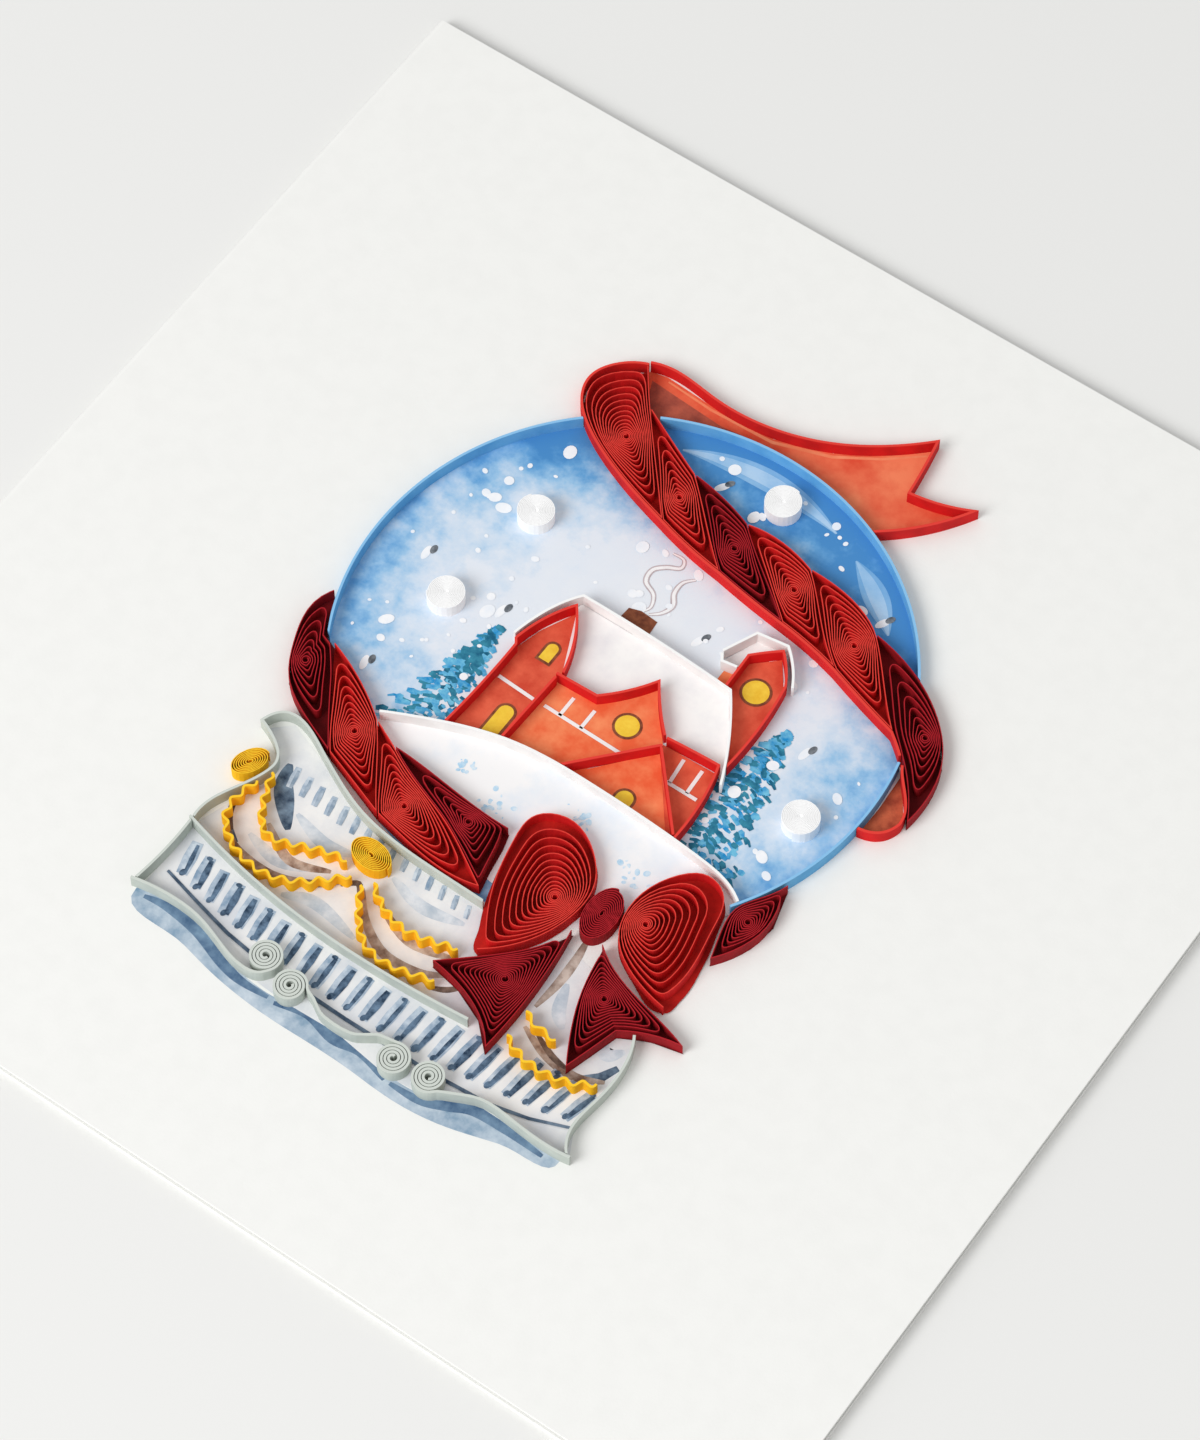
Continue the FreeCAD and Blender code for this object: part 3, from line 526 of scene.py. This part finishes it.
# a few wet brush marks, each pale with a dark end
marks = {"places": [(72.3, 114.2), (99.4, 109.2), (82.6, 94.2), (102.0, 88.6), (60.6, 83.8),
                    (48.2, 85.4), (51.4, 68.4)],
         "length": 1.1, "squash": 0.45, "tilt": 55, "turn": 8, "tail": (0.5, 0.9),
         "darkShare": 0.62, "darkSquash": 0.62}
markPaint = paintMaterial("charcoal brush mark", "#868C92", "#454B53", 0.9)
tailX, tailY = marks["tail"]
pale, dark = [], []
for i, (x, y) in enumerate(marks["places"]):
    tilt = marks["tilt"] + marks["turn"] * i
    pale.append(circle(x - tailX, y - tailY, marks["length"], marks["squash"], tilt, 18))
    dark.append(circle(x, y, marks["length"] * marks["darkShare"], marks["darkSquash"], tilt, 16))
printMarks("printMarkPale", pale, layers["markPale"], flakePaint)
printMarks("printMarkDark", dark, layers["markDark"], markPaint)

# light on the glass: arcs inside the rim, by radius and angles
shine = {"width": 1.8, "halo": 3.2, "ends": 0.05, "steps": 30,
         "arcs": [(32.8, 72, 112), (32.6, 44, 64)]}
glassPaint = paintMaterial("pale glass highlight", "#B4D3EE", "#8FBDE4", 5.0)
haloPaint = paintMaterial("soft edge of the glass highlight", "#8FBDE4", "#6FA9DA", 5.0)
crescents, halos = [], []
for radius, start, end in shine["arcs"]:
    points = []
    for step in range(shine["steps"] + 1):
        angle = math.radians(start + (end - start) * step / shine["steps"])
        points.append((globeCenter[0] + radius * math.cos(angle),
                       globeCenter[1] + radius * math.sin(angle)))
    crescents.append(stroke(points, shine["width"], shine["ends"]))
    halos.append(stroke(points, shine["halo"], shine["ends"]))
printMarks("printShineHalo", halos, layers["shineHalo"], haloPaint)
printMarks("printShine", crescents, layers["shine"], glassPaint)

print("painted shade under the coils")

# painted shade: dark red fields on the card under each coil stand in for the shade and red bounce
# light deep between its turns, so that no white shows there
redCoilShadeOutlines = [[(54.7, 121.8), (58.4, 116.9), (63.6, 110.7), (69.2, 104.1), (64.2, 105.6),
                 (58.7, 107.7), (53.2, 110.8), (50.7, 113.4), (49.9, 116.3), (51.4, 119.5)],
                [(58.4, 116.9), (63.6, 114.3), (68.6, 111.9), (72.0, 108.7), (75.9, 104.9),
                 (79.1, 102.0), (74.2, 102.8), (69.2, 104.1), (63.6, 110.7)],
                [(78.0, 109.6), (81.9, 110.0), (85.4, 109.5), (88.0, 108.7), (91.5, 105.2),
                 (95.0, 101.5), (98.5, 98.6), (94.0, 99.7), (89.4, 100.4), (86.0, 103.2),
                 (81.9, 106.3)],
                [(88.0, 108.7), (92.0, 108.5), (96.7, 107.3), (99.6, 105.6), (102.8, 102.2),
                 (105.6, 98.9), (108.9, 95.4), (104.0, 96.8), (98.5, 98.6), (95.0, 101.5),
                 (91.5, 105.2)],
                [(46.9, 66.9), (52.9, 64.3), (57.6, 61.2), (59.7, 58.6), (62.3, 54.9), (65.4, 50.7),
                 (59.6, 52.8), (55.7, 54.2), (52.6, 58.4), (50.1, 62.1)],
                [(57.6, 61.2), (61.4, 59.4), (66.8, 56.8), (73.0, 54.4), (78.0, 51.6), (81.1, 49.7),
                 (77.5, 49.0), (72.5, 49.3), (65.4, 50.7), (62.3, 54.9), (59.7, 58.6)]]
loopShadeOutlines = [[(85.7, 42.9), (89.4, 46.3), (92.1, 52.0), (92.2, 57.3), (89.0, 61.6), (84.0, 63.3),
               (80.8, 61.4), (80.5, 57.0), (81.5, 51.6), (83.6, 46.2)],
              [(107.8, 49.2), (102.4, 50.5), (98.0, 53.9), (96.9, 58.3), (98.7, 63.8),
               (102.2, 66.5), (105.6, 65.0), (106.9, 61.5), (108.1, 56.7), (108.5, 51.5)]]
darkCoilShadeOutlines = [
    [(68.6, 111.9), (73.7, 111.0), (78.0, 109.6), (81.9, 106.3), (86.0, 103.2), (89.4, 100.4),
     (84.2, 101.1), (79.1, 102.0), (75.9, 104.9), (72.0, 108.7)],
    [(99.6, 105.6), (106.4, 103.7), (112.2, 100.1), (116.2, 95.1), (117.4, 90.5), (117.2, 85.8),
     (114.2, 90.4), (108.9, 95.4), (105.6, 98.9), (102.8, 102.2)],
    [(42.6, 72.9), (41.5, 69.6), (42.9, 64.0), (45.4, 59.7), (49.8, 56.7), (55.7, 54.2),
     (52.6, 58.4), (50.1, 62.1), (46.9, 66.9), (45.3, 67.6), (43.8, 70.6)],
    [(79.3, 58.1), (73.7, 58.3), (65.4, 59.2), (61.4, 59.4), (66.8, 56.8), (73.0, 54.4),
     (78.0, 51.6), (81.1, 49.7), (80.4, 52.8), (79.9, 56.0)],
    [(93.3, 51.6), (94.1, 46.0), (94.4, 38.5), (94.1, 32.8), (90.8, 36.0), (86.6, 37.8),
     (82.3, 38.6), (86.9, 42.7), (91.0, 47.3)],
    [(97.2, 52.0), (100.6, 49.8), (105.6, 48.2), (112.8, 46.2), (108.6, 45.2), (105.2, 43.4),
     (104.3, 40.2), (103.1, 36.2), (100.6, 40.8), (98.5, 46.2)],
    [(110.5, 71.0), (108.9, 67.7), (107.2, 64.6), (107.4, 61.6), (108.6, 57.4), (111.2, 61.9),
     (111.9, 65.8)],
    circle(94.9, 55.1, 3.65, 0.58, 93),  # under the knot
]
# painted shade, darker than the coils' own papers, for the shade between their turns
redShadePaint = paintMaterial("painted red shade under the bright coils", "#C22018", "#A3120F", 3.0)
maroonShadePaint = paintMaterial("painted maroon shade under the dark coils", "#7A0810", "#5C040A", 3.0)
printShape("paintedShadeRedCoils", redCoilShadeOutlines, layers["redGapShade"], redShadePaint)
printShape("paintedShadeLoops", loopShadeOutlines, layers["loopShadeOutlines"], redShadePaint, smooth=True)
printShape("paintedShadeDarkCoils", darkCoilShadeOutlines, layers["darkGapShade"], maroonShadePaint)

print("printed ribbon lining and base")

tailPaint = paintMaterial("orange red ribbon wash", "#F5875F", "#E2563A", 7.0)
tail = [(54.1, 121.5), (54.7, 122.3), (56.9, 122.8), (64.1, 122.4), (73.0, 122.8), (80.1, 125.3),
        (85.5, 128.7), (90.2, 132.8), (91.1, 127.2), (91.5, 124.9), (95.5, 125.7), (99.3, 126.9),
        (95.3, 121.3), (91.4, 117.8), (83.5, 120.2), (75.0, 121.0), (66.0, 119.0), (59.4, 115.9),
        (55.6, 119.2)]
printShape("printTail", [tail], layers["tail"], tailPaint)
foldPaint = paintMaterial("brown shade in the ribbon's fold", "#C0604A", "#8E4237", 3.0)
tailFold = [(55.6, 121.3), (60.0, 121.0), (66.5, 120.6), (72.0, 121.3), (75.6, 121.6),
            (75.0, 121.0), (66.0, 119.0), (60.0, 116.5), (57.0, 118.2)]
printShape("printTailFold", [tailFold], layers["tailFold"], foldPaint)
linePaint = paintMaterial("light orange line beside the ribbon's edge", "#F9A277", "#F08A60", 4.0)
tailLine = {"width": 0.45, "ends": 0.4,
            "points": [(57.4, 122.3), (64.1, 121.9), (73.0, 122.3), (80.3, 124.8), (85.5, 128.1),
                       (89.8, 131.7)]}
printShape("printTailLine", [stroke(tailLine["points"], tailLine["width"], tailLine["ends"])],
           layers["tailLine"], linePaint)
curlPaint = paintMaterial("orange brown ribbon shade", "#D9714C", "#A84B34", 2.0)
curl = [(112.6, 91.6), (114.6, 89.1), (116.1, 86.9), (116.5, 85.2), (115.7, 83.5), (112.8, 82.1),
        (112.9, 86.5)]
printShape("printCurl", [curl], layers["curl"], curlPaint)

basePaint = paintMaterial("pale grey stone wash", "#F2F1F0", "#D9DCE2", 6.0)
base = [(48.0, 27.6), (47.9, 38.0), (51.2, 47.6), (51.4, 49.4), (49.6, 51.6), (46.8, 53.2),
        (49.4, 55.6), (55.0, 53.6), (63.0, 50.0), (72.6, 48.6), (82.6, 48.6), (94.0, 50.0),
        (106.0, 47.5), (108.4, 39.8), (108.4, 35.0), (108.0, 31.0), (110.0, 27.2), (102.0, 27.2),
        (97.2, 27.2), (91.0, 24.6), (86.2, 24.2), (78.4, 25.3), (70.8, 25.0), (64.7, 25.4),
        (57.0, 27.4), (52.0, 27.8)]
printShape("printBase", [base], layers["base"], basePaint)
washPaint = paintMaterial("blue grey shadow wash", "#D5DFE8", "#7F9CB5", 3.0, 0.3, 0.7)
wash = [(47.6, 27.0), (52.0, 27.7), (57.0, 27.3), (61.8, 25.7), (64.7, 25.1), (70.8, 25.0),
        (73.9, 26.0), (78.4, 25.2), (82.0, 25.8), (86.2, 24.5), (91.0, 24.6), (94.3, 25.8),
        (97.2, 27.1), (102.0, 27.1), (109.0, 26.9), (102.0, 24.6), (92.0, 22.2), (80.0, 22.4),
        (66.0, 22.6), (57.0, 24.2)]
printShape("printWash", [wash], layers["wash"], washPaint, smooth=True)
deepPaint = paintMaterial("slate wash close under the scrolls", "#7E9AB4", "#35557A",
                          2.2, 0.3, 0.7)


def brushed(lines, width, ends):
    # painted lines that bend smoothly through their points
    return [stroke(rounded(line), width, ends) for line in lines]


deepWash = {"width": 1.5, "ends": 0.3,
            "lines": [[(49.0, 26.7), (52.0, 27.1), (57.0, 26.6), (61.8, 25.0), (65.0, 24.3),
                       (69.0, 24.4)],
                      [(70.0, 24.2), (74.2, 25.3), (78.4, 24.5), (82.0, 24.9), (86.4, 23.6)],
                      [(87.2, 23.6), (91.2, 23.8), (94.3, 25.1), (97.2, 26.4), (102.0, 26.5),
                       (107.0, 26.2)]]}
printMarks("printDeepWash", brushed(deepWash["lines"], deepWash["width"], deepWash["ends"]),
           layers["deepWash"], deepPaint)

# shaded stone: slate hollows, and brown drapery shade along the garlands
# a big hollow by the left corner and a small one at each end, by line, width and ends
hollowPaint = paintMaterial("slate blue hollow", "#7F94A8", "#33445A", 2.0)
hollows = {"corner": (rounded([(52.2, 51.0), (53.2, 48.4), (55.2, 46.0), (57.4, 43.6)]), 2.4, 0.2),
           "left": ([(50.0, 41.8), (51.6, 39.6), (53.4, 38.6)], 1.2, 0.3),
           "right": ([(104.6, 36.6), (106.6, 38.2), (107.6, 40.4)], 1.3, 0.3)}
printMarks("printHollows", [stroke(*hollow) for hollow in hollows.values()],
           layers["hollows"], hollowPaint)
drapePaint = paintMaterial("brown drapery shade", "#D6C6BA", "#7C6152", 2.2)
drapes = {"width": 1.25, "ends": 0.3,
          "lines": [[(50.9, 40.2), (54.0, 38.1), (59.5, 37.6), (64.4, 39.6), (67.6, 42.4)],
                    [(69.4, 42.4), (72.4, 39.0), (76.6, 36.8), (81.4, 37.2), (85.0, 39.2)],
                    [(55.0, 43.0), (60.0, 40.4), (65.0, 42.0)],
                    [(72.0, 42.0), (78.0, 39.8), (84.0, 41.0)],
                    [(95.6, 38.6), (99.6, 37.0), (104.0, 36.6), (107.4, 38.0)],
                    [(94.9, 52.4), (95.4, 49.0), (95.5, 45.4), (95.1, 41.4)]]}
printMarks("printDrapes", brushed(drapes["lines"], drapes["width"], drapes["ends"]),
           layers["drapes"], drapePaint)
umber = paintMaterial("umber shade at the garlands' ends", "#8A7568", "#43342F", 1.6)
corners = {"width": 0.8, "ends": 0.3,
           "lines": [[(49.5, 46.6), (49.7, 43.6), (50.5, 41.4), (52.0, 39.8)],
                     [(67.0, 41.2), (68.6, 42.6), (69.8, 41.0)],
                     [(83.4, 36.2), (85.4, 37.2), (86.8, 38.6)],
                     [(97.0, 38.8), (100.4, 37.3), (103.0, 36.9)]]}
printMarks("printCorners", brushed(corners["lines"], corners["width"], corners["ends"]),
           layers["corners"], umber)
greyPaint = paintMaterial("cool grey stone shade", "#E3E7EC", "#B3C0CD", 2.6)
stoneShades = {"width": 1.7, "ends": 0.2,
               "lines": [[(57.0, 46.0), (62.0, 44.6), (66.0, 45.4)],
                         [(71.4, 45.6), (76.6, 44.4), (82.0, 45.4)],
                         [(54.0, 40.6), (58.6, 39.6), (62.6, 40.6)],
                         [(72.6, 36.4), (66.0, 37.6), (62.0, 36.2)],
                         [(96.4, 46.0), (97.6, 42.6), (99.4, 40.8)],
                         [(103.4, 43.0), (105.4, 41.0), (107.0, 42.6)]]}
printMarks("printStoneShades",
           brushed(stoneShades["lines"], stoneShades["width"], stoneShades["ends"]),
           layers["stoneShades"], greyPaint)

# each flute is a pale brush stroke with a darker right side and a pool of paint at its ends
fluteWash = paintMaterial("pale blue grey flute wash", "#D3DDE7", "#859DB6", 2.0)
fluteShade = paintMaterial("slate flute shade", "#6C859F", "#24384F", 1.2)
flutes = {"from": 49.8, "to": 107.2, "count": 24, "width": 1.6, "widths": (0.85, 1.1),
          "ends": 0.7, "top": 36.1, "topDip": 2.8, "foot": 31.6, "footDip": 3.2, "lean": 1.0,
          "shade": 0.8, "shades": (0.7, 1.25), "shadeEnds": 0.35, "beside": 0.3,
          "besides": (0.6, 1.3), "pool": 0.5, "pools": (0.8, 1.2), "poolSquash": 0.75,
          "poolTilt": 80, "sides": 12}
bodies, shades = [], []
for number in range(flutes["count"]):
    part = number / (flutes["count"] - 1)
    x = flutes["from"] + (flutes["to"] - flutes["from"]) * part
    top = flutes["top"] - flutes["topDip"] * math.sin(math.pi * min(1, 1.15 * part)) ** 0.7
    foot = flutes["foot"] - flutes["footDip"] * math.sin(math.pi * part) ** 0.8
    lean = flutes["lean"] * (1 - 2 * part)
    bodies.append(stroke([(x, top), (x + lean * 0.5, (top + foot) / 2), (x + lean, foot)],
                         flutes["width"] * random.uniform(*flutes["widths"]), flutes["ends"]))
    side = flutes["beside"] * random.uniform(*flutes["besides"])
    shades.append(stroke([(x + side, top - 0.3), (x + lean * 0.5 + side, (top + foot) / 2),
                          (x + lean + side, foot + 0.2)],
                         flutes["shade"] * random.uniform(*flutes["shades"]),
                         flutes["shadeEnds"]))
    shades.append(circle(x + lean, foot + 0.25, flutes["pool"] * random.uniform(*flutes["pools"]),
                         flutes["poolSquash"], flutes["poolTilt"], flutes["sides"]))
    if number % 2:
        shades.append(circle(x, top - 0.2, flutes["pool"] * 0.8, 0.7, 10, flutes["sides"]))
printMarks("printFlutes", bodies, layers["flutes"], fluteWash)
printMarks("printFluteShades", shades, layers["fluteShades"], fluteShade)

# the short flutes under the crown grow shorter and fainter to the right
upperFlutes = {"from": 53.4, "to": 81.0, "count": 15, "top": 51.2, "topFall": 3.4,
               "length": 2.9, "shorter": 1.2, "width": 1.0, "ends": 0.6, "shade": 0.55,
               "narrower": 0.3, "shades": (0.8, 1.2), "shadeEnds": 0.4}
upperBodies, upperShades = [], []
for number in range(upperFlutes["count"]):
    part = number / (upperFlutes["count"] - 1)
    x = upperFlutes["from"] + (upperFlutes["to"] - upperFlutes["from"]) * part
    top = upperFlutes["top"] - upperFlutes["topFall"] * part
    foot = top - upperFlutes["length"] + upperFlutes["shorter"] * part
    narrower = upperFlutes["narrower"] * part
    upperBodies.append(stroke([(x, top), (x + 0.3, (top + foot) / 2), (x + 0.6, foot)],
                              upperFlutes["width"] - narrower, upperFlutes["ends"]))
    upperShades.append(stroke([(x + 0.2, top - 0.4), (x + 0.5, (top + foot) / 2),
                               (x + 0.8, foot)],
                              (upperFlutes["shade"] - narrower)
                              * random.uniform(*upperFlutes["shades"]),
                              upperFlutes["shadeEnds"]))
printMarks("printUpperFlutes", upperBodies, layers["flutes"], fluteWash)
faintShade = paintMaterial("faint grey blue flute shade", "#B4C2D0", "#7B90A6", 1.6)
printMarks("printUpperFluteShades", upperShades, layers["fluteShades"], faintShade)
footPaint = paintMaterial("dark line below the flutes", "#7D90A4", "#33465C", 3.0)
footLine = {"width": 0.5, "ends": 0.7,
            "points": [(49.2, 31.0), (54.0, 29.8), (60.0, 28.4), (66.0, 27.6), (78.0, 27.3),
                       (90.0, 27.4), (98.0, 28.0), (103.0, 29.2), (107.6, 31.0)]}
printMarks("printFootLine", [stroke(footLine["points"], footLine["width"], footLine["ends"])],
           layers["footLine"], footPaint)
